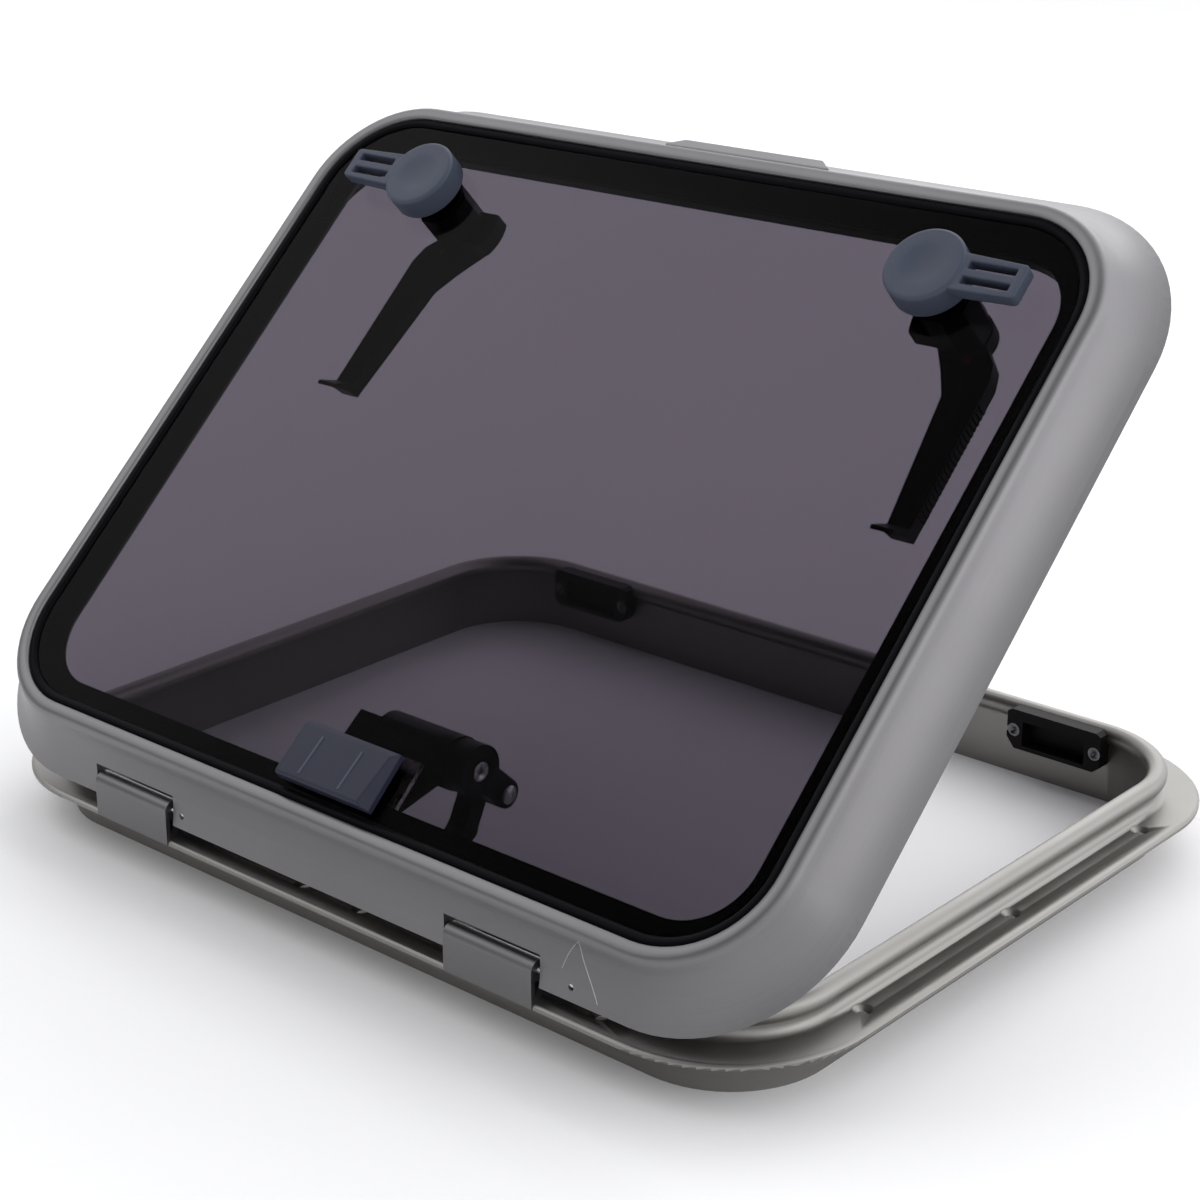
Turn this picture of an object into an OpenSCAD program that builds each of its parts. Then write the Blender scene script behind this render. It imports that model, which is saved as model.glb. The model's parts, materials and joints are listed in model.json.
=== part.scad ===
// Deck hatch: aluminium base frame, hinged lid with acrylic pane, two latch handles and a friction stay.
// Origin: centre of the deck screw pattern on the underside of the flange. +Z up, hinge side at -Y.

/* [Opening] */
// Clear opening, left to right
opening_w = 501; // [480:1:520]
// Clear opening, hinge side to latch side
opening_d = 386; // [376:1:400]
// Corner radius of the opening
opening_r = 52; // [45:1:60]

/* [Base] */
// Coaming wall thickness
wall_t = 3; // [2.5:0.5:3]
// Flange width beyond the opening
flange_reach = 25.5; // [24:0.5:28]
// Depth of the spigot below the deck
spigot_depth = 24; // [16:1:40]
// Deck screw hole diameter
screw_hole_d = 5.3; // [4.2:0.1:5.5]
// Countersink diameter
countersink_d = 10.4; // [8:0.1:11]

/* [Lid] */
// Lid angle as stored, 0 is closed
lid_angle = 42.8; // [38:0.1:44]
// Thickness of the pane
pane_t = 10; // [9:0.5:10]
// Distance between the two latch centres
latch_spacing = 341; // [330:1:350]
// Knob diameter
knob_d = 43; // [38:1:44]

/* [Hinge] */
// Hinge axis, distance from the origin towards -Y
hinge_back = 213.5; // [213:0.5:214]
// Hinge axis height over the deck
hinge_h = 18.5; // [18.5:0.5:19]
// Hinge pin diameter
pin_d = 3; // [2.5:0.5:3]

/* [Hidden] */
$fn = 64;
fit = 0.05;
// Opening loop and the lip that runs along it
open_x = opening_w / 2;
open_y = opening_d / 2;
flange_top = 3;
lip_s = 2.5;
lip_z = 15.2;
lip_r = 5.4;
// Deck screws
hole_inset = 11.6;
hole_x = open_x + hole_inset;
hole_y = open_y + hole_inset;
side_hole_step = 123;
end_hole_x = 176;
mid_hole_x = 20.5;
// Lid loop: its inner ring edge, from which the lid profile runs outwards
ring_x = 254;
ring_y = 199.5;
ring_r = 52;
ring_mid_y = 9;
pane_top = 43.5;
pane_bottom = pane_top - pane_t;
ledge_top = 32.5;
ledge_bottom = 30.5;
skirt_z = 15.5;
// Hinge
hinge = [0, -hinge_back, hinge_h];
barrel_r = 5.5;
knuckle_right = [90.7, 146.7];
knuckle_left = [-166.3, -109.3];
notch_gap = 2.5;
notch_top = 26.9;
notch_back = -201.4;
// Outer face of the knuckle plates
plate_y = -hinge_back - barrel_r;
boss_len = 12;
boss_top = 29;
set_screw_x = 168;
set_screw_r = 1.6;
set_screw_tilt = 52;
// Latches
latch_x = latch_spacing / 2;
latch_y = 163.5;
spindle_r = 5;
bush_r = 8;
knob_low = pane_top + 1;
knob_top = pane_top + 16;
bar_low = pane_top + 7.5;
hub_r = 15;
lever_z = -9;
lever_t = 9;
tongue_z = [-0.5, 9];
tongue_half = 11;
tongue_reach = 26;
// Friction stay: lid pivot, base pivot and link lengths, in the plane across the hinge
stay_b = [-136.5, 16.6];
stay_p = [-177.5, 1.5];
upper_len = 28;
lower_len = 64;
// Bow of the lower link that clears the barrel
lower_bow = 6;
barrel_len_r = 14;
elbow_pin_r = 3;
stay_x = 44;
link_t = 13;
// Pivot positions at the stored angle
stay_b_open = turned(stay_b, lid_angle);
stay_e = elbow(stay_b_open, stay_p, upper_len, lower_len);

function turned(p, a) = [
    hinge.y + (p.x - hinge.y) * cos(a) - (p.y - hinge.z) * sin(a),
    hinge.z + (p.x - hinge.y) * sin(a) + (p.y - hinge.z) * cos(a)];
// Meeting point of the two links, on the +Y side of the line between their pivots
function elbow(b, p, l1, l2) = let (
    d = norm(b - p),
    along = (l2 * l2 + d * d - l1 * l1) / (2 * d),
    off = sqrt(l2 * l2 - along * along),
    u = (b - p) / d) p + along * u + off * [u.y, -u.x];
function arc(c, r, a0, a1, n) = [for (i = [0:n]) c + r * [cos(a0 + (a1 - a0) * i / n),
    sin(a0 + (a1 - a0) * i / n)]];
// Hollow curve from a to b that sinks by sag at mid length
function cove(a, b, sag, n) = let (u = (b - a) / norm(b - a)) [for (i = [0:n])
    a + (b - a) * i / n + 4 * sag * (i / n) * (1 - i / n) * [u.y, -u.x]];

// Sweeps an outline (x outwards, y up) round a rectangle with rounded corners
module sweep_loop(hx, hy, r) {
    for (k = [0, 1]) {
        rotate(180 * k) translate([hx, 0, 0]) rotate([90, 0, 0])
            linear_extrude(2 * (hy - r), center = true) children();
        rotate(180 * k + 90) translate([hy, 0, 0]) rotate([90, 0, 0])
            linear_extrude(2 * (hx - r), center = true) children();
        rotate(180 * k) translate([hx - r, hy - r, 0])
            rotate_extrude(angle = 90) translate([r, 0]) children();
        rotate(180 * k) translate([r - hx, hy - r, 0]) rotate(90)
            rotate_extrude(angle = 90) translate([r, 0]) children();
    }
}
module round_rect(hx, hy, r) {
    square([2 * hx, 2 * (hy - r)], center = true);
    square([2 * (hx - r), 2 * hy], center = true);
    for (i = [-1, 1], j = [-1, 1]) translate([i * (hx - r), j * (hy - r)]) circle(r);
}
// Puts what is drawn for the closed lid at the stored angle
module on_lid() {
    translate(hinge) rotate([lid_angle, 0, 0]) translate(-hinge) children();
}
module on_ring() {
    translate([0, ring_mid_y, 0]) children();
}
// Cylinder along X through a point of the plane across the hinge
module x_rod(x0, x1, p, r) {
    translate([x0, p.x, p.y]) rotate([0, 90, 0]) cylinder(h = x1 - x0, r = r);
}
module x_plate(x0, x1) {
    translate([x0, 0, 0]) rotate([90, 0, 90]) linear_extrude(x1 - x0) children();
}
// Straight strip between two points, and the same with round ends
module leg(a, b, half) {
    translate(a) rotate(atan2(b.y - a.y, b.x - a.x)) translate([0, -half])
        square([norm(b - a), 2 * half]);
}
module bar2(a, b, r) {
    translate(a) circle(r);
    translate(b) circle(r);
    leg(a, b, r);
}
module at_latch(side) {
    translate([side * latch_x, latch_y, 0]) scale([side, 1, 1]) children();
}

module base_profile() {
    polygon(concat([[0, -spigot_depth], [wall_t, -spigot_depth], [wall_t, 0], [flange_reach, 0],
        [flange_reach, 1.7], [flange_reach - 0.9, 2.7], [flange_reach - 2.2, flange_top]],
        arc([wall_t + 5, flange_top + 5], 5, 270, 180, 5), [[wall_t, lip_z], [0, lip_z]]));
    translate([lip_s, lip_z]) circle(lip_r);
}
module deck_hole(x, y) {
    translate([x, y, -1]) cylinder(h = 10, d = screw_hole_d);
    translate([x, y, 0.4]) cylinder(h = flange_top - 0.4, d1 = screw_hole_d, d2 = countersink_d);
    translate([x, y, flange_top - 0.01]) cylinder(h = 5, d = countersink_d);
}
keeper_screw_x = [146, 198];
keeper_screw_z = 6.5;
bracket_screw_x = [14, 58];
bracket_screw_z = -8;
wall_hole_r = 2.1;
module base_frame() {
    color("silver") difference() {
        sweep_loop(open_x, open_y, opening_r) base_profile();
        for (i = [-1, 1]) {
            for (y = [-side_hole_step, 0, side_hole_step]) deck_hole(i * hole_x, y);
            for (x = [-end_hole_x, -mid_hole_x, mid_hole_x, end_hole_x]) deck_hole(x, i * hole_y);
            for (x = keeper_screw_x) translate([i * x, open_y - 2, keeper_screw_z])
                rotate([-90, 0, 0]) cylinder(h = wall_t + 4, r = wall_hole_r);
        }
        for (x = bracket_screw_x) translate([x, 2 - open_y, bracket_screw_z])
            rotate([90, 0, 0]) cylinder(h = wall_t + 4, r = wall_hole_r);
        // The knuckle plates sit in these recesses of the rim
        for (s = [knuckle_left, knuckle_right]) translate([s[0] - 0.1, plate_y - 1, -1])
            cube([s[1] - s[0] + 0.2, 2.95, flange_top + 2]);
    }
}

// Hook profile: upright outer plate with the barrel on top and a sloping web behind it
module knuckle(span) {
    color("silver") difference() {
        union() {
            x_plate(span[0], span[1])
                polygon([[plate_y, 0.2], [plate_y + 1.9, 0.2], [plate_y + 1.9, flange_top + 0.05],
                    [plate_y + 5.4, flange_top + 0.05], [plate_y + 13.4, hinge.z - 5],
                    [plate_y + 10.8, hinge.z - 3], [plate_y + 8.6, hinge.z - 3], [plate_y + 2.6, 5.4],
                    [plate_y + 2.6, hinge.z], [plate_y, hinge.z]]);
            x_rod(span[0], span[1], [hinge.y, hinge.z], barrel_r);
        }
        x_rod(span[0] - 1, span[1] + 1, [hinge.y, hinge.z], pin_d / 2 + fit);
    }
}
module hinge_knuckle_left() { knuckle(knuckle_left); }
module hinge_knuckle_right() { knuckle(knuckle_right); }

keeper_t = 10;
keeper_front = open_y - keeper_t;
pocket_x = [152, 192];
pocket_depth = 8.2;
pocket_z = [-1.5, 13];
module keeper(side) {
    color([0.08, 0.08, 0.09]) scale([side, 1, 1]) difference() {
        translate([172, open_y, 0]) rotate([90, 0, 0]) linear_extrude(keeper_t)
            polygon([[-30, 17.5], [-30, 2], [-25, -4.2], [26, -4.2], [30, -1], [30, 17.5], [27, 19.3],
                [-27, 19.3]]);
        translate([pocket_x[0], keeper_front - 1, pocket_z[0]])
            cube([pocket_x[1] - pocket_x[0], pocket_depth + 1, pocket_z[1] - pocket_z[0]]);
        // Clears the rounded lip and the corner of the coaming
        sweep_loop(open_x, open_y, opening_r) {
            translate([lip_s, lip_z]) circle(lip_r + 0.1);
            translate([-0.05, -10]) square([6, 40]);
        }
        for (x = keeper_screw_x) translate([x, keeper_front - 1, keeper_screw_z]) rotate([-90, 0, 0]) {
            cylinder(h = 20, r = wall_hole_r);
            cylinder(h = 4, r = 4.2);
        }
    }
}
module keeper_left() { keeper(-1); }
module keeper_right() { keeper(1); }
// Pan-head screw along +Y, head at the origin
module wall_screw(shank_len) {
    rotate([-90, 0, 0]) difference() {
        union() {
            cylinder(h = 2.4, r = 3.8);
            cylinder(h = shank_len, r = wall_hole_r - fit);
        }
        translate([0, 0, -0.1]) cylinder(h = 1.6, r = 1.4, $fn = 6);
    }
}
module keeper_screws() {
    color("silver") for (i = [-1, 1], x = keeper_screw_x)
        translate([i * x, keeper_front + 0.6, keeper_screw_z]) wall_screw(13);
}

// Clevis bracket of the stay on the hinge-side wall
bracket_x = [6, 66];
cheek_t = 4;
bracket_face = -open_y;
module stay_base_bracket() {
    color([0.1, 0.1, 0.11]) difference() {
        union() {
            translate([bracket_x[0], bracket_face, -13]) cube([bracket_x[1] - bracket_x[0], 3.5, 21]);
            for (x = [stay_x - 16.6 - cheek_t, stay_x - 2.4]) x_plate(x, x + cheek_t) union() {
                translate(stay_p) circle(7);
                translate([bracket_face + 1, stay_p.y - 7]) square([stay_p.x - bracket_face - 1, 14]);
            }
        }
        x_rod(0, 70, stay_p, elbow_pin_r + fit);
        for (x = bracket_screw_x) translate([x, bracket_face - 1, bracket_screw_z])
            rotate([-90, 0, 0]) cylinder(h = 8, r = wall_hole_r);
    }
}
module stay_bracket_screws() {
    color("silver") for (x = bracket_screw_x) translate([x, bracket_face + 3.6 + 2.4, bracket_screw_z])
        rotate(180) wall_screw(10);
}
module stay_base_pin() {
    color("silver") union() {
        x_rod(stay_x - 21.6, stay_x + 3, stay_p, elbow_pin_r);
        x_rod(stay_x + 1.8, stay_x + 3.4, stay_p, elbow_pin_r + 1.6);
    }
}

// Lid section: ring crest, soft edge, hollow skirt and the ledge under the pane
soft = [9.9, 40];
skirt_out = [30, skirt_z];
module lid_profile() {
    polygon(concat([[-16, ledge_bottom], [-16, ledge_top], [0, ledge_top], [0, 45.6], [0.5, 46.2], [2.5, 46.6],
        [5, 46.7], [6.8, 46.1], [8.2, 44.6], [9.2, 42.6]],
        cove(soft, skirt_out, 2, 8),
        [[27.2, skirt_z]], cove([27.2, skirt_z + 1.5], [8.6, 36], -2, 8), [[8.6, ledge_bottom]]));
}
module notch(span) {
    translate([span[0] - notch_gap, -hinge_back - 20, skirt_z - 6])
        cube([span[1] - span[0] + 2 * notch_gap, 33, notch_top - skirt_z + 6]);
}
// Webs behind the skirt that hold a hinge pin on both sides of its notch
module pin_bosses(span, extra) {
    skin = [for (p = cove(soft, skirt_out, 2, 8)) if (p.y < boss_top) [ring_mid_y - ring_y - p.x + 0.5, p.y]];
    for (x = [[span[0] - notch_gap - boss_len, span[0] - notch_gap],
        [span[1] + notch_gap, span[1] + notch_gap + boss_len + extra]])
        x_plate(x[0], x[1])
            polygon(concat(skin, [[hinge.y + 6, skirt_z], [hinge.y + 9, boss_top]]));
}
module lid_frame() {
    color([0.75, 0.75, 0.77]) on_lid() difference() {
        union() {
            difference() {
                on_ring() sweep_loop(ring_x, ring_y, ring_r) lid_profile();
                notch(knuckle_left);
                notch(knuckle_right);
            }
            pin_bosses(knuckle_left, 0);
            pin_bosses(knuckle_right, set_screw_x - knuckle_right[1] - 6);
            for (s = [knuckle_left, knuckle_right])
                translate([s[0] - notch_gap - 2, notch_back - 1.2, 19])
                    cube([s[1] - s[0] + 2 * notch_gap + 4, 1.2, 15]);
        }
        for (s = [knuckle_left, knuckle_right])
            x_rod(s[0] - 10, s[1] + 10, [hinge.y, hinge.z], pin_d / 2 + fit);
        x_rod(knuckle_right[1], set_screw_x + 4, [hinge.y, hinge.z], pin_d / 2 + fit);
        for (x = set_screws_x) translate([x, hinge.y, hinge.z])
            rotate([set_screw_tilt, 0, 0]) cylinder(h = 24, r = set_screw_r, center = true);
    }
}
set_screws_x = [knuckle_left[1] + 9, set_screw_x];
module hinge_pin(x0, x1) {
    color("silver") on_lid() x_rod(x0, x1, [hinge.y, hinge.z], pin_d / 2);
}
module hinge_pin_left() { hinge_pin(knuckle_left[0] - 9.8, knuckle_left[1] + 9.8); }
module hinge_pin_right() { hinge_pin(knuckle_right[0] - 9.8, set_screw_x + 3.8); }
module pin_set_screws() {
    color("dimgray") on_lid() for (x = set_screws_x)
        translate([x, hinge.y, hinge.z]) rotate([set_screw_tilt, 0, 0])
            translate([0, 0, -pin_d / 2 - fit - 3]) cylinder(h = 3, r = set_screw_r - fit);
}
module glass_pane() {
    color([0.35, 0.33, 0.36, 0.6]) on_lid() difference() {
        on_ring() translate([0, 0, pane_bottom]) linear_extrude(pane_t)
            round_rect(ring_x - 3.2, ring_y - 3.2, ring_r - 3.2);
        for (i = [-1, 1]) translate([i * latch_x, latch_y, 0]) cylinder(h = 60, r = bush_r + fit);
        for (x = stay_bolt_x) translate([x, stay_bolt_y, 0]) cylinder(h = 60, r = stay_bolt_r + fit);
    }
}
module glazing_gasket() {
    color([0.05, 0.05, 0.05]) on_lid() on_ring() sweep_loop(ring_x, ring_y, ring_r) {
        polygon([[-3.1, pane_bottom + 0.1], [-0.1, pane_bottom + 0.1], [-0.1, 44.4], [-1.2, 45.2], [-3, 45.3],
            [-4.6, 44.6], [-5.4, pane_top + 0.05], [-3.1, pane_top + 0.05]]);
    }
}
module bonding_band() {
    color([0.03, 0.03, 0.03]) on_lid() on_ring() sweep_loop(ring_x, ring_y, ring_r)
        polygon([[-17, ledge_top + 0.02], [-0.1, ledge_top + 0.02], [-0.1, pane_bottom - 0.02],
            [-17, pane_bottom - 0.02]]);
}
seal_top = ledge_bottom - 0.05;
seal_bottom = 21.1;
module lid_seal() {
    color([0.07, 0.07, 0.07]) on_lid() sweep_loop(open_x + lip_s, open_y + lip_s, opening_r + lip_s)
        polygon(concat([[-3.8, seal_top], [-3.8, seal_bottom + 4]],
            arc([0, seal_bottom + 3.8], 3.8, 180, 360, 8), [[3.8, seal_bottom + 4], [3.8, seal_top]]));
}
lip_x = [-31, 76];
lip_taper = 10;
module lift_lip() {
    color([0.78, 0.78, 0.8]) on_lid() translate([0, ring_mid_y + ring_y, 0]) intersection() {
        x_plate(lip_x[0], lip_x[1])
            polygon([[8.3, 44.6], [9.28, 42.6], [9.98, 40], [11.45, 37.2], [13, 37.8], [14.9, 39.4],
                [15.9, 40.4], [15.6, 41.3], [9.4, 44.5]]);
        linear_extrude(60) polygon([[lip_x[0], 0], [lip_x[1], 0], [lip_x[1], 9.6],
            [lip_x[1] - lip_taper, 17], [lip_x[0] + lip_taper, 17], [lip_x[0], 9.6]]);
    }
}

// Stay mount: cover over the pane, plate and housing under it
cover_x = [-30, 34];
cover_y = [-182.5, -150.5];
cover_h = 9.5;
stay_bolt_x = [-12, 20];
stay_bolt_y = -167;
stay_bolt_r = 3;
cover_base = pane_top + 1.1;
module stay_cover() {
    color([0.27, 0.29, 0.33]) on_lid() intersection() {
        x_plate(cover_x[0], cover_x[1]) translate([0, cover_base])
            polygon([[cover_y[0], 0], [cover_y[0], cover_h - 1.5], [cover_y[0] + 1.2, cover_h],
                [cover_y[1] - 4, cover_h - 2.5], [cover_y[1], cover_h - 5.5], [cover_y[1], 0]]);
        translate([0, cover_y[1] + 1, cover_base]) rotate([90, 0, 0])
            linear_extrude(cover_y[1] - cover_y[0] + 2)
                polygon([[cover_x[0], 0], [cover_x[0], 3.5], [cover_x[0] + 3, cover_h + 1],
                    [cover_x[1] - 5, cover_h + 1], [cover_x[1], 3.5], [cover_x[1], 0]]);
    }
}
module stay_cover_gasket() {
    color([0.05, 0.05, 0.05]) on_lid() difference() {
        translate([cover_x[0] + 1, cover_y[0] + 1, pane_top + 0.02])
            cube([cover_x[1] - cover_x[0] - 2, cover_y[1] - cover_y[0] - 2, 1.05]);
        for (x = stay_bolt_x) translate([x, stay_bolt_y, 40]) cylinder(h = 9, r = stay_bolt_r + fit);
    }
}
plate_z = pane_bottom - 2.52;
module stay_clamp_plate() {
    color([0.8, 0.8, 0.78]) on_lid() difference() {
        translate([-24, -173.5, plate_z]) cube([61, 26, 2.5]);
        for (x = stay_bolt_x) translate([x, stay_bolt_y, 20]) cylinder(h = 20, r = stay_bolt_r + fit);
    }
}
housing_x = [-5, stay_x - 0.6];
module stay_barrel_housing() {
    color([0.07, 0.07, 0.08]) on_lid() difference() {
        union() {
            x_rod(housing_x[0], housing_x[1], stay_b, barrel_len_r);
            x_plate(-20, 34) polygon([[-172, plate_z - 0.02], [-149, plate_z - 0.02],
                [stay_b.x + 5, stay_b.y + 13], [stay_b.x - 13, stay_b.y - 5], [-172, plate_z - 6]]);
        }
        x_rod(housing_x[0] + 10, housing_x[1] + 1, stay_b, 4 + fit);
        for (x = stay_bolt_x) translate([x, stay_bolt_y, 20]) cylinder(h = 20, r = stay_bolt_r + fit);
    }
}
module stay_clamp_screws() {
    color("silver") on_lid() for (x = stay_bolt_x) translate([x, stay_bolt_y, 24.6]) union() {
        cylinder(h = cover_base - 24.7, r = stay_bolt_r);
    }
}
module stay_upper_link() {
    b = stay_b_open;
    color([0.08, 0.08, 0.09]) difference() {
        union() {
            x_rod(stay_x, stay_x + link_t, b, barrel_len_r - 0.6);
            x_rod(stay_x - 30, stay_x + 1, b, 4);
            x_plate(stay_x + 1, stay_x + link_t - 1) bar2(b, stay_e, 7.5);
        }
        x_rod(stay_x - 5, stay_x + 20, stay_e, elbow_pin_r + fit);
        x_rod(stay_x + link_t - 4, stay_x + 20, b, 5 + fit);
    }
}
module stay_barrel_screw() {
    color("silver") difference() {
        x_rod(stay_x + link_t - 3.9, stay_x + link_t + 0.6, stay_b_open, 5);
        translate([stay_x + link_t + 0.7, stay_b_open.x, stay_b_open.y]) rotate([0, -90, 0])
            cylinder(h = 2.4, r = 2.2, $fn = 6);
    }
}
elbow_clear = 1.2;
module stay_elbow_pin() {
    color("silver") union() {
        x_rod(stay_x - 15.5, stay_x + 12.4, stay_e, elbow_pin_r);
        x_rod(stay_x + 12.1, stay_x + 13.4, stay_e, elbow_pin_r + 1.8);
    }
}
module stay_lower_link() {
    along = (stay_e - stay_p) / lower_len;
    bow = stay_p + 0.64 * lower_len * along + lower_bow * [along.y, -along.x];
    color([0.09, 0.09, 0.1]) x_plate(stay_x - 15, stay_x - 4) difference() {
        union() {
            leg(stay_p, bow, 5);
            leg(bow, stay_e, 5);
            translate(stay_p) circle(6.5);
            translate(bow) circle(5.6);
            translate(stay_e) circle(8);
        }
        translate(stay_e) circle(elbow_pin_r + elbow_clear);
        translate(stay_p) circle(elbow_pin_r + fit);
    }
}

// Latch handles: knob and slotted bar above the pane, spindle through it, lever below
slot_x = [24, 49];
slot_y = [2.2, 6.6];
module outer_handle(side) {
    color([0.27, 0.29, 0.33]) on_lid() at_latch(side) difference() {
        union() {
            translate([0, 0, knob_low]) cylinder(h = 1.5, r1 = knob_d / 2 - 1.5, r2 = knob_d / 2);
            translate([0, 0, knob_low + 1.5]) cylinder(h = knob_top - knob_low - 3, r = knob_d / 2);
            translate([0, 0, knob_top - 1.5]) cylinder(h = 1.5, r1 = knob_d / 2, r2 = knob_d / 2 - 1.5);
            translate([0, 0, bar_low]) linear_extrude(knob_top - 1 - bar_low)
                polygon([[12, -11], [53, -9.6], [54.5, -8], [54.5, 8], [53, 9.6], [12, 11]]);
        }
        translate([0, 0, knob_top + 58.4]) sphere(60, $fn = 96);
        for (i = [-1, 1]) translate([slot_x[0], i > 0 ? slot_y[0] : -slot_y[1], 0])
            cube([slot_x[1] - slot_x[0], slot_y[1] - slot_y[0], 60]);
        cylinder(h = pane_top + 7, r = spindle_r + 0.03);
    }
}
module outer_handle_left() { outer_handle(-1); }
module outer_handle_right() { outer_handle(1); }
spindle_low = 1;
module spindle(side) {
    color("silver") on_lid() at_latch(side) difference() {
        translate([0, 0, spindle_low]) cylinder(h = pane_top + 6.8 - spindle_low, r = spindle_r);
        translate([0, 0, spindle_low - 1]) cylinder(h = 14, r = 2 + fit);
    }
}
module spindle_left() { spindle(-1); }
module spindle_right() { spindle(1); }
module spindle_bush(side) {
    color([0.12, 0.12, 0.13]) on_lid() at_latch(side) difference() {
        union() {
            translate([0, 0, pane_bottom - 3]) cylinder(h = pane_t + 3, r = bush_r);
            translate([0, 0, pane_bottom - 3]) cylinder(h = 2.95, r = 14);
        }
        translate([0, 0, 20]) cylinder(h = 40, r = spindle_r + fit);
        translate([0, 0, pane_top - 5]) cylinder(h = 2, r = spindle_r + 1.6);
    }
}
module spindle_bush_left() { spindle_bush(-1); }
module spindle_bush_right() { spindle_bush(1); }
module spindle_o_ring(side) {
    color([0.02, 0.02, 0.02]) on_lid() at_latch(side) translate([0, 0, pane_top - 4])
        rotate_extrude() translate([spindle_r + 0.82, 0]) circle(0.74, $fn = 24);
}
module spindle_o_ring_left() { spindle_o_ring(-1); }
module spindle_o_ring_right() { spindle_o_ring(1); }

// Lever outline seen from above for the right-hand latch, hub at the origin
grip_end = -112;
grip_in = 14.4;
grip_out = 27.3;
tab_top = 11;
rib_count = 20;
rib_step = 3.4;
button_pos = [9, -15];
module lever_outline() {
    circle(hub_r);
    polygon([[-13, -7], [14, -3], [24, -14], [grip_out - 0.3, -24], [grip_out, grip_end], [grip_in, grip_end],
        [6, -37], [-2, -23]]);
}
module inner_lever(side) {
    color([0.06, 0.06, 0.065]) on_lid() at_latch(side) difference() {
        union() {
            translate([0, 0, lever_z]) linear_extrude(lever_t) lever_outline();
            translate([0, 0, lever_z]) cylinder(h = pane_bottom - 3.3 - lever_z, r = 11);
            // Latch tongue
            translate([0, 0, tongue_z[0]]) linear_extrude(tongue_z[1] - tongue_z[0]) intersection() {
                translate([-30, -tongue_half]) square([30, 2 * tongue_half]);
                circle(tongue_reach);
            }
            // Fingertip tab that leans outwards
            x_plate(grip_in, grip_out) polygon([[grip_end + 2, lever_z], [grip_end - 1.5, lever_z],
                [grip_end - 3, 0], [grip_end - 8.2, tab_top], [grip_end - 6, tab_top + 0.6],
                [grip_end + 2, lever_z + lever_t - 0.5]]);
            for (i = [0:rib_count - 1]) translate([grip_out - 0.9, -38 - rib_step * i, lever_z + 1])
                cube([1.8, 1.6, lever_t - 2]);
        }
        translate([0, 0, spindle_low]) cylinder(h = 60, r = spindle_r + 0.03);
        translate([0, 0, lever_z - 1]) cylinder(h = 20, r = 2.1);
        translate([0, 0, lever_z - 1]) cylinder(h = 4, r = 4.4);
        translate([button_pos.x, button_pos.y, lever_z - 1]) {
            cylinder(h = 9, r = 3.8);
            cylinder(h = 20, r = 2.3);
        }
    }
}
module inner_lever_left() { inner_lever(-1); }
module inner_lever_right() { inner_lever(1); }
module lever_screw(side) {
    color("silver") on_lid() at_latch(side) difference() {
        union() {
            translate([0, 0, lever_z + 0.4]) cylinder(h = 2.5, r = 4.2);
            translate([0, 0, lever_z + 0.4]) cylinder(h = 16, r = 2);
        }
        translate([0, 0, lever_z]) cylinder(h = 1.8, r = 1.5, $fn = 6);
    }
}
module lever_screw_left() { lever_screw(-1); }
module lever_screw_right() { lever_screw(1); }
button_travel = 2;
module lock_button(side) {
    color("firebrick") on_lid() at_latch(side) translate([button_pos.x, button_pos.y, lever_z - 2]) {
        cylinder(h = 5.4, r = 3.6);
        cylinder(h = lever_t + button_travel + 0.6, r = 2.2);
    }
}
module lock_button_left() { lock_button(-1); }
module lock_button_right() { lock_button(1); }
module button_spring(side) {
    color("silver") on_lid() at_latch(side) translate([button_pos.x, button_pos.y, lever_z + 5.7])
        difference() {
            cylinder(h = 2.2, r = 3.4);
            translate([0, 0, -1]) cylinder(h = 7, r = 2.5);
        }
}
module button_spring_left() { button_spring(-1); }
module button_spring_right() { button_spring(1); }

base_frame();
hinge_knuckle_left();
hinge_knuckle_right();
keeper_left();
keeper_right();
keeper_screws();
stay_base_bracket();
stay_bracket_screws();
stay_base_pin();
lid_frame();
hinge_pin_left();
hinge_pin_right();
pin_set_screws();
glass_pane();
glazing_gasket();
bonding_band();
lid_seal();
lift_lip();
stay_cover();
stay_cover_gasket();
stay_clamp_plate();
stay_barrel_housing();
stay_clamp_screws();
stay_upper_link();
stay_barrel_screw();
stay_elbow_pin();
stay_lower_link();
outer_handle_left();
outer_handle_right();
spindle_left();
spindle_right();
spindle_bush_left();
spindle_bush_right();
spindle_o_ring_left();
spindle_o_ring_right();
inner_lever_left();
inner_lever_right();
lever_screw_left();
lever_screw_right();
lock_button_left();
lock_button_right();
button_spring_left();
button_spring_right();
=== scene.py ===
"""Deck hatch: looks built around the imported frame. Metres, +Z up, hinge side at -Y."""
import json
import math

import bmesh
import bpy
from mathutils import Matrix, Vector
from mathutils.bvhtree import BVHTree


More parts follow.
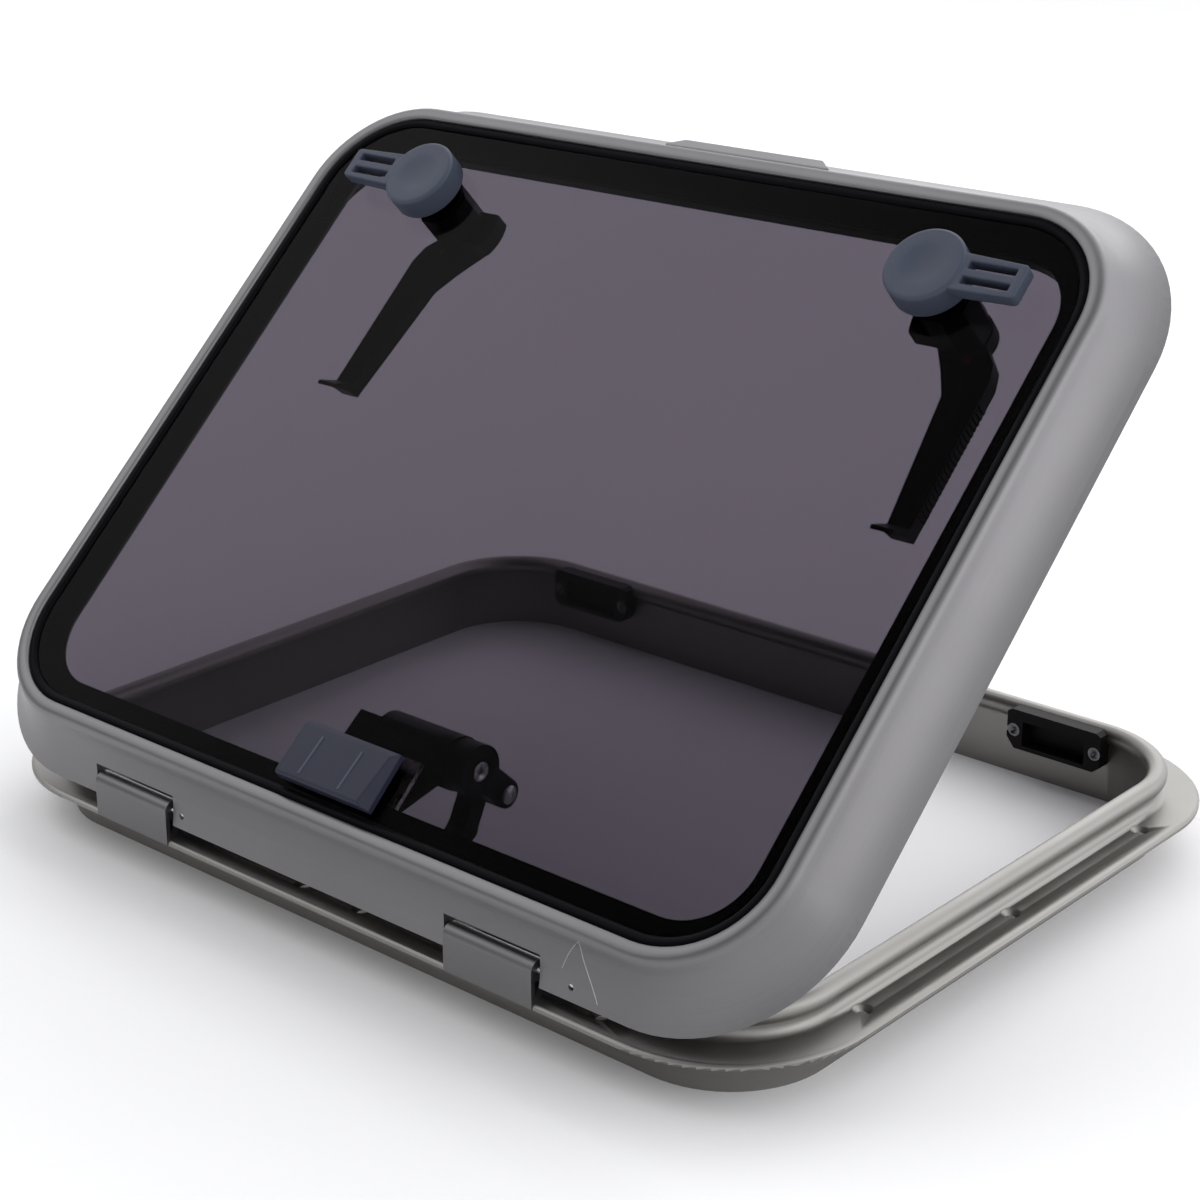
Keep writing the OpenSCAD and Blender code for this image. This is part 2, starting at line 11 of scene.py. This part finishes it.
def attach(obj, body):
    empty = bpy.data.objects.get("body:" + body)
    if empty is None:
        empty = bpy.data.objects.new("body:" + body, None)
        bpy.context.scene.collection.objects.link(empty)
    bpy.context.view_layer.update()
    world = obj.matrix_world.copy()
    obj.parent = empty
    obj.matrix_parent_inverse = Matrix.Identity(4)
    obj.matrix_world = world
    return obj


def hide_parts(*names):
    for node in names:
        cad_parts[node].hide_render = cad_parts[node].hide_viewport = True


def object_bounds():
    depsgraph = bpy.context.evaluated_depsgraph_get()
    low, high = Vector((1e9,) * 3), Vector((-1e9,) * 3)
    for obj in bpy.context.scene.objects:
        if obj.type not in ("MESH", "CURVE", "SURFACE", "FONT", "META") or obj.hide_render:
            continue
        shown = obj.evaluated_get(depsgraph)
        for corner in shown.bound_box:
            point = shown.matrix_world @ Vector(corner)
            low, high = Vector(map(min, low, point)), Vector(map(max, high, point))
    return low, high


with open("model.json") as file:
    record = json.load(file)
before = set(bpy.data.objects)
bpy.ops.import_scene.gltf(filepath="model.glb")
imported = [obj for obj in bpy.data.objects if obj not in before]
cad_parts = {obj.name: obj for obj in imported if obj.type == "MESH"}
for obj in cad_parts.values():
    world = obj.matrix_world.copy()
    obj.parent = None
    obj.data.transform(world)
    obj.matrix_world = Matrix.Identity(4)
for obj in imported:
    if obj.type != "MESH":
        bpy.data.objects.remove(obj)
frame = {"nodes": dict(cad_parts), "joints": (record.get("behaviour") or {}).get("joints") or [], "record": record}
cad_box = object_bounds()
NODES = frame["nodes"]
JOINTS = {joint["name"]: joint for joint in frame["joints"]}
MM = 0.001
scene = bpy.context.scene
scene.view_settings.view_transform = "Standard"

# ---------------------------------------------------------------- frame measures
hinge = Vector(JOINTS["lid_hinge"]["pos_m"])
latch_axis = Vector(JOINTS["handle_turn_right"]["axis"])
lid_tilt = math.atan2(-latch_axis.y, latch_axis.z)
TO_OPEN = Matrix.Translation(hinge) @ Matrix.Rotation(lid_tilt, 4, "X") @ Matrix.Translation(-hinge)
TO_CLOSED = TO_OPEN.inverted()
BODY_OF = {node: body for body, names in frame["record"]["behaviour"]["bodies"].items() for node in names}
SLOT_OF = {part["node"]: part["material_slot"] for part in frame["record"]["subparts"]}


def closed_box(node):
    """Lowest and highest corner of a node in the closed lid's coordinates."""
    points = [TO_CLOSED @ v.co for v in NODES[node].data.vertices]
    low = Vector(min(p[i] for p in points) for i in range(3))
    high = Vector(max(p[i] for p in points) for i in range(3))
    return low, high


# ---------------------------------------------------------------- materials
def new_material(name):
    material = bpy.data.materials.new(name)
    material.use_nodes = True
    tree = material.node_tree
    return material, tree, tree.nodes["Principled BSDF"]


def local_coords(tree, tilt=0, scale=(1, 1, 1)):
    """Object coordinates turned into the closed lid's frame and stretched."""
    coords = tree.nodes.new("ShaderNodeTexCoord")
    turn = tree.nodes.new("ShaderNodeMapping")
    turn.inputs["Rotation"].default_value = (-tilt, 0, 0)
    stretch = tree.nodes.new("ShaderNodeMapping")
    stretch.inputs["Scale"].default_value = scale
    tree.links.new(coords.outputs["Object"], turn.inputs["Vector"])
    tree.links.new(turn.outputs["Vector"], stretch.inputs["Vector"])
    return stretch.outputs["Vector"]


NOISE_SPAN = (0.3, 0.7)


def noise(tree, vector, scale, detail=4.0, roughness=0.6):
    node = tree.nodes.new("ShaderNodeTexNoise")
    node.inputs["Scale"].default_value = scale
    node.inputs["Detail"].default_value = detail
    node.inputs["Roughness"].default_value = roughness
    tree.links.new(vector, node.inputs["Vector"])
    return node.outputs["Fac"]


def spread(tree, value, low, high):
    """Maps the span that noise really covers to low..high."""
    node = tree.nodes.new("ShaderNodeMapRange")
    node.inputs["From Min"].default_value = NOISE_SPAN[0]
    node.inputs["From Max"].default_value = NOISE_SPAN[1]
    node.inputs["To Min"].default_value = low
    node.inputs["To Max"].default_value = high
    tree.links.new(value, node.inputs["Value"])
    return node.outputs["Result"]


def two_tone(tree, value, dark, light):
    node = tree.nodes.new("ShaderNodeMix")
    node.data_type = "RGBA"
    node.inputs["A"].default_value = (*dark, 1)
    node.inputs["B"].default_value = (*light, 1)
    tree.links.new(value, node.inputs["Factor"])
    return node.outputs["Result"]


def bump(tree, shader, height, strength, distance):
    node = tree.nodes.new("ShaderNodeBump")
    node.inputs["Strength"].default_value = strength
    node.inputs["Distance"].default_value = distance
    tree.links.new(height, node.inputs["Height"])
    tree.links.new(node.outputs["Normal"], shader.inputs["Normal"])


def brushed_aluminium(name, dark, light, rough, tilt=0):
    """Satin anodised aluminium with fine lines that run round the frame."""
    material, tree, shader = new_material(name)
    shader.inputs["Metallic"].default_value = 1
    lines = noise(tree, local_coords(tree, tilt, (6, 6, 900)), scale=3.0, detail=6.0, roughness=0.65)
    cloud = noise(tree, local_coords(tree, tilt), scale=9.0, detail=3.0)
    mottled = spread(tree, cloud, -0.03, 0.03)
    total = tree.nodes.new("ShaderNodeMath")
    total.operation = "ADD"
    tree.links.new(spread(tree, lines, rough - 0.05, rough + 0.06), total.inputs[0])
    tree.links.new(mottled, total.inputs[1])
    tree.links.new(total.outputs["Value"], shader.inputs["Roughness"])
    tree.links.new(two_tone(tree, lines, dark, light), shader.inputs["Base Color"])
    bump(tree, shader, lines, 0.12, 0.2 * MM)
    return material


def moulded(name, dark, light, rough, grain_scale, strength, gloss):
    """Injection-moulded plastic or rubber with a fine spark-eroded grain."""
    material, tree, shader = new_material(name)
    shader.inputs["IOR"].default_value = 1.48
    shader.inputs["Specular IOR Level"].default_value = gloss
    vector = local_coords(tree)
    grain = noise(tree, vector, grain_scale, detail=3.0)
    cloud = noise(tree, vector, scale=22.0, detail=3.0)
    tree.links.new(two_tone(tree, cloud, dark, light), shader.inputs["Base Color"])
    tree.links.new(spread(tree, grain, rough - 0.06, rough + 0.08), shader.inputs["Roughness"])
    bump(tree, shader, grain, strength, 0.2 * MM)
    return material


def machined_steel(name, light):
    material, tree, shader = new_material(name)
    shader.inputs["Metallic"].default_value = 1
    vector = local_coords(tree, scale=(400, 60, 60))
    lines = noise(tree, vector, scale=2.0, detail=4.0)
    tree.links.new(two_tone(tree, lines, [c * 0.8 for c in light], light), shader.inputs["Base Color"])
    tree.links.new(spread(tree, lines, 0.2, 0.34), shader.inputs["Roughness"])
    bump(tree, shader, lines, 0.08, 0.1 * MM)
    return material


def smoked_acrylic(name):
    """Clear smoke-grey acrylic with a mauve cast, a very faint haze and little glare."""
    material, tree, shader = new_material(name)
    shader.inputs["Transmission Weight"].default_value = 1
    shader.inputs["IOR"].default_value = 1.15
    shader.inputs["Specular Tint"].default_value = (0.02, 0.02, 0.02, 1)
    haze = noise(tree, local_coords(tree), scale=6.0, detail=2.0)
    smoke = two_tone(tree, haze, (0.101, 0.088, 0.111), (0.105, 0.092, 0.115))
    tree.links.new(smoke, shader.inputs["Base Color"])
    tree.links.new(spread(tree, haze, 0.0, 0.001), shader.inputs["Roughness"])
    return material


MATERIALS = {
    # Base aluminium made lighter than the lid's: painted light on the base's shaded inner walls.
    "anodised_aluminium": brushed_aluminium(
        "aluminium_base_painted_light", (0.215, 0.209, 0.196), (0.295, 0.287, 0.27), rough=0.42),
    "stainless_steel": machined_steel("stainless", (0.66, 0.66, 0.67)),
    "smoked_acrylic": smoked_acrylic("smoked_pane"),
    "black_rubber": moulded(
        "black_gasket", (0.003, 0.003, 0.004), (0.004, 0.004, 0.005),
        rough=0.30, grain_scale=900, strength=0.03, gloss=0.03),
    "black_plastic": moulded(
        "black_moulding", (0.004, 0.0035, 0.0035), (0.007, 0.006, 0.006),
        rough=0.42, grain_scale=1400, strength=0.15, gloss=0.09),
    "slate_plastic": moulded(
        "slate_moulding", (0.050, 0.060, 0.087), (0.062, 0.074, 0.105),
        rough=0.42, grain_scale=1500, strength=0.15, gloss=0.2),
    "red_plastic": moulded(
        "red_moulding", (0.30, 0.012, 0.012), (0.38, 0.02, 0.02),
        rough=0.3, grain_scale=900, strength=0.1, gloss=0.25),
}
# Lid aluminium made darker than the base's: painted shade for the dim hinge-side skirt.
SHADED_LID_ALUMINIUM = brushed_aluminium(
    "aluminium_lid_painted_shade", (0.158, 0.155, 0.159), (0.219, 0.215, 0.220), rough=0.42, tilt=lid_tilt)
# Darker copy of the aluminium for the hinge knuckles: painted shade for the knuckles on the dim hinge side.
SHADED_KNUCKLE_ALUMINIUM = brushed_aluminium(
    "aluminium_knuckle_painted_shade", (0.135, 0.132, 0.134), (0.19, 0.186, 0.188), rough=0.40)
# Lighter slate for the cover's ribs: a painted highlight along the ribs.
HIGHLIGHT_SLATE = moulded(
    "slate_painted_highlight", (0.06, 0.066, 0.09), (0.08, 0.088, 0.12),
    rough=0.4, grain_scale=1500, strength=0.1, gloss=0.2)
# Light steel for the weld beads, much lighter than the skirt, so each bead shows as a bright line: a painted
# highlight.
WELD_HIGHLIGHT_STEEL = machined_steel("weld_bead", (0.5, 0.5, 0.5))

# Nodes that look different from the rest of their slot; the lid's and the knuckles' aluminium are darker copies of
# the same metal, painted shade.
OWN_MATERIAL = {
    "lid_frame": SHADED_LID_ALUMINIUM,
    "lift_lip": SHADED_LID_ALUMINIUM,
    "hinge_knuckle_left": SHADED_KNUCKLE_ALUMINIUM,
    "hinge_knuckle_right": SHADED_KNUCKLE_ALUMINIUM,
    "bonding_band": moulded(
        "bonding_band_black", (0.0015, 0.0015, 0.0018), (0.0025, 0.0025, 0.003),
        rough=0.4, grain_scale=300, strength=0.02, gloss=0.02),
    "stay_clamp_plate": machined_steel("plate_steel", (0.74, 0.73, 0.70)),
    "keeper_screws": machined_steel("dark_steel", (0.16, 0.16, 0.17)),
    "stay_cover": moulded(
        "slate_cover", (0.018, 0.020, 0.035), (0.024, 0.027, 0.046),
        rough=0.42, grain_scale=1500, strength=0.15, gloss=0.2),
}


def material_for(node):
    return OWN_MATERIAL.get(node) or MATERIALS[SLOT_OF[node]]


# ---------------------------------------------------------------- mesh helpers
SMOOTH_DEG = 38


def make_object(name, mesh, material, smooth_deg=SMOOTH_DEG):
    mesh.materials.clear()
    mesh.materials.append(material)
    piece = bpy.data.objects.new(name, mesh)
    scene.collection.objects.link(piece)
    mesh.shade_smooth()
    mesh.set_sharp_from_angle(angle=math.radians(smooth_deg))
    return piece


def from_bmesh(name, bm, material, smooth_deg=SMOOTH_DEG):
    bmesh.ops.recalc_face_normals(bm, faces=bm.faces)
    mesh = bpy.data.meshes.new(name)
    bm.to_mesh(mesh)
    bm.free()
    return make_object(name, mesh, material, smooth_deg)


def apply_modifiers(piece):
    depsgraph = bpy.context.evaluated_depsgraph_get()
    mesh = bpy.data.meshes.new_from_object(piece.evaluated_get(depsgraph), preserve_all_data_layers=True,
                                           depsgraph=depsgraph)
    piece.modifiers.clear()
    piece.data = mesh


def declare(piece, node, replaces=True):
    """Rides the piece on the node's body; it may stand for the node too."""
    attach(piece, BODY_OF[node])
    if replaces:
        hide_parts(node)


WELD_DISTANCE = 2e-6
FLAT_DEG = 0.6
BEVEL_OVER_DEG = 40


def clean_copy(node, bevel=0.0, segments=2, smooth_deg=SMOOTH_DEG):
    """A welded copy of a node with soft shading and, where asked, rounded edges."""
    bm = bmesh.new()
    bm.from_mesh(NODES[node].data)
    bmesh.ops.remove_doubles(bm, verts=bm.verts, dist=WELD_DISTANCE)
    bmesh.ops.dissolve_degenerate(bm, edges=bm.edges, dist=WELD_DISTANCE / 2)
    if bevel:
        bmesh.ops.dissolve_limit(bm, angle_limit=math.radians(FLAT_DEG), verts=bm.verts, edges=bm.edges)
    piece = from_bmesh(node + "_body", bm, material_for(node), smooth_deg)
    if bevel:
        modifier = piece.modifiers.new("edges", "BEVEL")
        modifier.width = bevel
        modifier.segments = segments
        modifier.limit_method = "ANGLE"
        modifier.angle_limit = math.radians(BEVEL_OVER_DEG)
        modifier.use_clamp_overlap = True
        even = piece.modifiers.new("even", "WEIGHTED_NORMAL")
        even.weight = 100
        even.keep_sharp = True
        apply_modifiers(piece)
    declare(piece, node)
    return piece


def curve_points(points, radius, steps):
    """Rounds the corners of a closed outline."""
    out = []
    for i, point in enumerate(points):
        here = Vector(point)
        before = Vector(points[i - 1]) - here
        after = Vector(points[(i + 1) % len(points)]) - here
        cut = min(radius, before.length * 0.48, after.length * 0.48)
        start = here + before.normalized() * cut
        end = here + after.normalized() * cut
        for k in range(steps + 1):
            t = k / steps
            out.append(tuple(start * (1 - t) ** 2 + here * 2 * t * (1 - t) + end * t * t))
    return out


def prism(name, outline, z0, z1, matrix, material, bevel, holes=()):
    """Solid between two heights with an outline, rounded edges and through holes."""
    curve = bpy.data.curves.new(name, "CURVE")
    curve.dimensions = "2D"
    curve.fill_mode = "BOTH"
    for ring in (outline, *holes):
        spline = curve.splines.new("POLY")
        spline.points.add(len(ring) - 1)
        for point, (x, y) in zip(spline.points, ring):
            point.co = (x, y, 0, 1)
        spline.use_cyclic_u = True
    curve.extrude = (z1 - z0) / 2 - bevel
    curve.bevel_depth = bevel
    curve.offset = -bevel
    curve.bevel_resolution = 3
    holder = bpy.data.objects.new(name + "_curve", curve)
    scene.collection.objects.link(holder)
    depsgraph = bpy.context.evaluated_depsgraph_get()
    mesh = bpy.data.meshes.new_from_object(holder.evaluated_get(depsgraph))
    bpy.data.objects.remove(holder)
    bm = bmesh.new()
    bm.from_mesh(mesh)
    bmesh.ops.remove_doubles(bm, verts=bm.verts, dist=WELD_DISTANCE / 2)
    bmesh.ops.transform(bm, matrix=matrix @ Matrix.Translation((0, 0, (z0 + z1) / 2)), verts=bm.verts)
    return from_bmesh(name, bm, material)


def lathe(name, profile, matrix, material, steps=96):
    """Profile (radius, height) turned round the matrix's Z axis; ends at radius 0 are closed."""
    bm = bmesh.new()
    rings = []
    for r, z in profile:
        if r == 0:
            rings.append([bm.verts.new(matrix @ Vector((0, 0, z)))])
            continue
        rings.append([bm.verts.new(matrix @ Vector((r * math.cos(a), r * math.sin(a), z)))
                      for a in (math.tau * k / steps for k in range(steps))])
    for low, high in zip(rings, rings[1:]):
        for k in range(steps):
            n = (k + 1) % steps
            corners = [low[k % len(low)], low[n % len(low)], high[n % len(high)], high[k % len(high)]]
            unique = list(dict.fromkeys(corners))
            if len(unique) > 2:
                bm.faces.new(unique)
    return from_bmesh(name, bm, material)


# ---------------------------------------------------------------- camera, light, floor
CAMERA_AT = Vector((0.8356, -0.9554, 0.5790))
LOOK = Vector((-0.6177, 0.7030, -0.3526)).normalized()
RIGHT = Vector((0.7515, 0.6597, -0.0012))
LENS = 75.77
SENSOR = 36
STUDIO_AIM = (0, 0, 0.12)
FLOOR_HALF = 40
SKY_BASE = 0.47
SKY_BACK = 1.35
SKY_RIGHT = 0.75
SKY_TINT = (0.97, 0.97, 1.0, 1)
# Name, place, width and height, power in watts
SOFTBOXES = (
    ("key", (-1.9, -0.9, 2.4), (2.8, 2.6), 26),
    ("side", (2.6, 0.2, 1.3), (1.4, 1.2), 6),
    ("rim", (-0.6, 2.4, 1.6), (2.2, 1.0), 10),
)


def add_camera():
    data = bpy.data.cameras.new("camera")
    data.lens = LENS
    data.sensor_width = SENSOR
    camera = bpy.data.objects.new("camera", data)
    up = RIGHT.cross(LOOK).normalized()
    right = LOOK.cross(up)
    rotation = Matrix((right, up, -LOOK)).transposed()
    camera.matrix_world = Matrix.Translation(CAMERA_AT) @ rotation.to_4x4()
    scene.collection.objects.link(camera)
    scene.camera = camera


def add_softbox(name, at, size, energy):
    data = bpy.data.lights.new(name, "AREA")
    data.shape = "RECTANGLE"
    data.size, data.size_y = size
    data.energy = energy
    lamp = bpy.data.objects.new(name, data)
    lamp.location = at
    lamp.rotation_euler = (Vector(STUDIO_AIM) - Vector(at)).to_track_quat("-Z", "Y").to_euler()
    scene.collection.objects.link(lamp)


def ramp(tree, value, low, high, top):
    """0 below low, rising smoothly to top at high."""
    node = tree.nodes.new("ShaderNodeMapRange")
    node.interpolation_type = "SMOOTHSTEP"
    node.inputs["From Min"].default_value = low
    node.inputs["From Max"].default_value = high
    node.inputs["To Min"].default_value = 0
    node.inputs["To Max"].default_value = top
    tree.links.new(value, node.inputs["Value"])
    return node.outputs["Result"]


def add_sky():
    """Dim room that is bright behind the hatch and on its right."""
    world = bpy.data.worlds.new("studio")
    world.use_nodes = True
    tree = world.node_tree
    direction = tree.nodes.new("ShaderNodeTexCoord")
    split = tree.nodes.new("ShaderNodeSeparateXYZ")
    tree.links.new(direction.outputs["Generated"], split.inputs["Vector"])
    total = tree.nodes.new("ShaderNodeMath")
    total.operation = "ADD"
    tree.links.new(ramp(tree, split.outputs["Y"], low=-0.1, high=0.75, top=SKY_BACK), total.inputs[0])
    tree.links.new(ramp(tree, split.outputs["X"], low=0.2, high=0.9, top=SKY_RIGHT), total.inputs[1])
    base = tree.nodes.new("ShaderNodeMath")
    base.operation = "ADD"
    base.inputs[1].default_value = SKY_BASE
    tree.links.new(total.outputs["Value"], base.inputs[0])
    background = tree.nodes["Background"]
    background.inputs["Color"].default_value = SKY_TINT
    tree.links.new(base.outputs["Value"], background.inputs["Strength"])
    scene.world = world


def add_studio():
    add_sky()
    for softbox in SOFTBOXES:
        add_softbox(*softbox)
    bm = bmesh.new()
    bmesh.ops.create_grid(bm, x_segments=1, y_segments=1, size=FLOOR_HALF)
    bmesh.ops.translate(bm, vec=(0, 0, cad_box[0][2]), verts=bm.verts)
    material, tree, shader = new_material("floor_paper")
    grain = noise(tree, local_coords(tree), scale=300.0)
    paper = two_tone(tree, grain, (0.93, 0.93, 0.93), (0.95, 0.95, 0.95))
    tree.links.new(paper, shader.inputs["Base Color"])
    tree.links.new(spread(tree, grain, 0.8, 0.9), shader.inputs["Roughness"])
    from_bmesh("floor", bm, material)


add_camera()
add_studio()

# ---------------------------------------------------------------- parts that keep the frame's own shape
SHELL_SMOOTH_DEG = 22
for node in ("base_frame", "lid_frame", "hinge_knuckle_left", "hinge_knuckle_right", "lift_lip"):
    clean_copy(node, smooth_deg=SHELL_SMOOTH_DEG)
for node in ("keeper_left", "keeper_right"):
    clean_copy(node, bevel=0.7 * MM)
clean_copy("glass_pane").data.shade_flat()
for node in ("glazing_gasket", "bonding_band", "lid_seal", "stay_clamp_plate", "stay_cover_gasket",
             "stay_lower_link", "stay_base_bracket", "stay_base_pin", "stay_elbow_pin",
             "stay_clamp_screws", "stay_bracket_screws", "keeper_screws", "hinge_pin_left",
             "hinge_pin_right", "pin_set_screws", "stay_barrel_screw", "stay_upper_link",
             "stay_barrel_housing"):
    clean_copy(node)

# ---------------------------------------------------------------- latch handles
SIDES = {"left": -1, "right": 1}
KNOB_RADIUS = 21.5 * MM
BAR_LOW = 7.55 * MM
BAR_HIGH = 15 * MM
BAR_ROUNDING = 0.8 * MM
BAR_CORNER = 1.2 * MM
BAR_OUTLINE = ((12, -11), (53, -9.6), (54.5, -8.4), (54.5, 8.4), (53, 9.6), (12, 11))
SLOT_X = (23, 49.5)
SLOT_Y = ((-6.6, -2.2), (2.2, 6.6))
SLOT_CORNER = 0.9 * MM
CORNER_STEPS = 4
LEVER_THICKNESS = 9 * MM
NECK_RADIUS = 15.5 * MM
NECK_GAP = 0.2 * MM
NECK_SIDES = 8


def latch_centre(side):
    """Middle of a latch's turning axis in the closed lid's coordinates."""
    return TO_CLOSED @ Vector(JOINTS["handle_turn_" + side]["pos_m"])


def latch_matrix(side):
    """Puts a handle drawn round the origin, +X outwards, on its latch in the stored pose."""
    mirror = Matrix.Diagonal((SIDES[side], 1, 1, 1))
    return TO_OPEN @ Matrix.Translation(latch_centre(side)) @ mirror


def knob_profile(top):
    """Half section of the knob: soft bottom, straight side, rounded rim and a shallow dish."""
    base = 1.0 * MM
    edge = 2.4 * MM
    dish_depth = 2.4 * MM
    dish_radius = 14 * MM
    dish_steps = 12
    profile = [(0, base), (KNOB_RADIUS - 1.8 * MM, base), (KNOB_RADIUS - 0.5 * MM, base + 0.4 * MM),
               (KNOB_RADIUS, base + 1.6 * MM), (KNOB_RADIUS, top - edge)]
    for degrees in range(10, 100, 10):
        a = math.radians(degrees)
        profile.append((KNOB_RADIUS - edge + edge * math.cos(a), top - edge + edge * math.sin(a)))
    profile.append((dish_radius + 1.5 * MM, top - 0.05 * MM))
    for i in range(1, dish_steps + 1):
        outwards = 1 - i / dish_steps
        profile.append((dish_radius * outwards, top - dish_depth * (1 - outwards ** 2) ** 1.5))
    return profile


def slot_ring(y0, y1):
    """Outline of one slot along the bar."""
    corners = ((SLOT_X[0], y0), (SLOT_X[1], y0), (SLOT_X[1], y1), (SLOT_X[0], y1))
    return curve_points([(x * MM, y * MM) for x, y in corners], SLOT_CORNER, CORNER_STEPS)


def add_knob_and_bar(side):
    node = "outer_handle_" + side
    place = latch_matrix(side)
    slate = MATERIALS["slate_plastic"]
    knob_top = closed_box(node)[1].z - latch_centre(side).z
    knob = lathe(f"knob_{side}", knob_profile(knob_top), place, slate)
    outline = curve_points([(x * MM, y * MM) for x, y in BAR_OUTLINE], BAR_CORNER, CORNER_STEPS)
    slots = [slot_ring(y0, y1) for y0, y1 in SLOT_Y]
    bar = prism(f"bar_{side}", outline, BAR_LOW, BAR_HIGH, place, slate, BAR_ROUNDING, slots)
    for piece in (knob, bar):
        declare(piece, node)


def add_lever(side):
    """The lever as in the frame, with an eight-sided neck up to the bush."""
    node = "inner_lever_" + side
    clean_copy(node, bevel=0.5 * MM)
    low, high = closed_box(node)
    origin = latch_centre(side).z
    turns = [math.tau * (k + 0.5) / NECK_SIDES for k in range(NECK_SIDES)]
    corners = [(math.cos(a) * NECK_RADIUS, math.sin(a) * NECK_RADIUS) for a in turns]
    neck = prism(f"lever_neck_{side}", corners, low.z + LEVER_THICKNESS - origin,
                 high.z - NECK_GAP - origin, latch_matrix(side), MATERIALS["black_plastic"], BAR_ROUNDING)
    declare(neck, node, replaces=False)


for side in SIDES:
    add_knob_and_bar(side)
    add_lever(side)
    for stem in ("spindle", "spindle_bush", "spindle_o_ring", "lever_screw", "lock_button",
                 "button_spring"):
        clean_copy(f"{stem}_{side}")

# ---------------------------------------------------------------- stay cover
clean_copy("stay_cover", bevel=0.8 * MM, segments=3)
RIB_SHARES = (0.27, 0.70)
RIB_HALF = 0.8 * MM
RIB_RISE = 0.6 * MM
RIB_SECTION = ((-1, -1), (-0.8, 0.6), (0, 1), (0.8, 0.6), (1, -1))
RIB_START = Vector((0, 3.5 * MM, -0.35 * MM))
RIB_END = Vector((0, -6.5 * MM, -2.2 * MM))


def add_cover_rib(index, share):
    """Low rib down the sloping face of the cover, at a share of its width."""
    low, high = closed_box("stay_cover")
    x = low.x + share * (high.x - low.x)
    ends = (Vector((x, low.y, high.z)) + RIB_START, Vector((x, high.y, high.z)) + RIB_END)
    bm = bmesh.new()
    rows = []
    for end in ends:
        rows.append([bm.verts.new(TO_OPEN @ (end + Vector((dx * RIB_HALF, 0, dz * RIB_RISE))))
                     for dx, dz in RIB_SECTION])
    last = len(RIB_SECTION) - 1
    for i in range(last):
        bm.faces.new((rows[0][i], rows[0][i + 1], rows[1][i + 1], rows[1][i]))
    for row in rows:
        bm.faces.new(row)
    bm.faces.new((rows[0][0], rows[0][last], rows[1][last], rows[1][0]))
    # The rib's lighter slate is a painted highlight.
    rib = from_bmesh(f"cover_rib_{index}", bm, HIGHLIGHT_SLATE)
    declare(rib, "stay_cover", replaces=False)


for index, share in enumerate(RIB_SHARES):
    add_cover_rib(index, share)

# ---------------------------------------------------------------- weld seams of the skirt
lid_mesh = NODES["lid_frame"].data
lid_skin = BVHTree.FromPolygons([v.co.copy() for v in lid_mesh.vertices],
                                [tuple(face.vertices) for face in lid_mesh.polygons])
INWARDS = (TO_OPEN.to_3x3() @ Vector((0, 1, 0))).normalized()
OUTSIDE_Y = -0.27
SEAM_APEX = (176.5, 43.2)


def weld_bead(name, end, bow, half, rise, steps=48):
    """Low bead on the hinge-side skirt from the seams' apex to a closed-lid (x, z) place."""
    hits = []
    for k in range(steps + 1):
        x, z = (a + (b - a) * k / steps for a, b in zip(SEAM_APEX, end))
        x -= bow * math.sin(math.pi * k / steps)
        start = TO_OPEN @ Vector((x * MM, OUTSIDE_Y, z * MM))
        spot, normal, _, _ = lid_skin.ray_cast(start, INWARDS)
        hits.append((spot, normal))
    along = (hits[-1][0] - hits[0][0]).normalized()
    bm = bmesh.new()
    rows = []
    for spot, normal in hits:
        side = normal.cross(along).normalized() * half
        crest = normal * rise
        rows.append([bm.verts.new(p) for p in (spot - side, spot + crest, spot + side, spot - crest)])
    for a, b in zip(rows, rows[1:]):
        for i in range(4):
            bm.faces.new((a[i], b[i], b[(i + 1) % 4], a[(i + 1) % 4]))
    bm.faces.new(rows[0])
    bm.faces.new(rows[-1])
    declare(from_bmesh(name, bm, WELD_HIGHLIGHT_STEEL), "lid_frame", replaces=False)


weld_bead("weld_outer", end=(184.0, 18.0), bow=3.2, half=0.28 * MM, rise=0.1 * MM)
weld_bead("weld_inner", end=(162.5, 25.4), bow=1.0, half=0.16 * MM, rise=0.06 * MM)
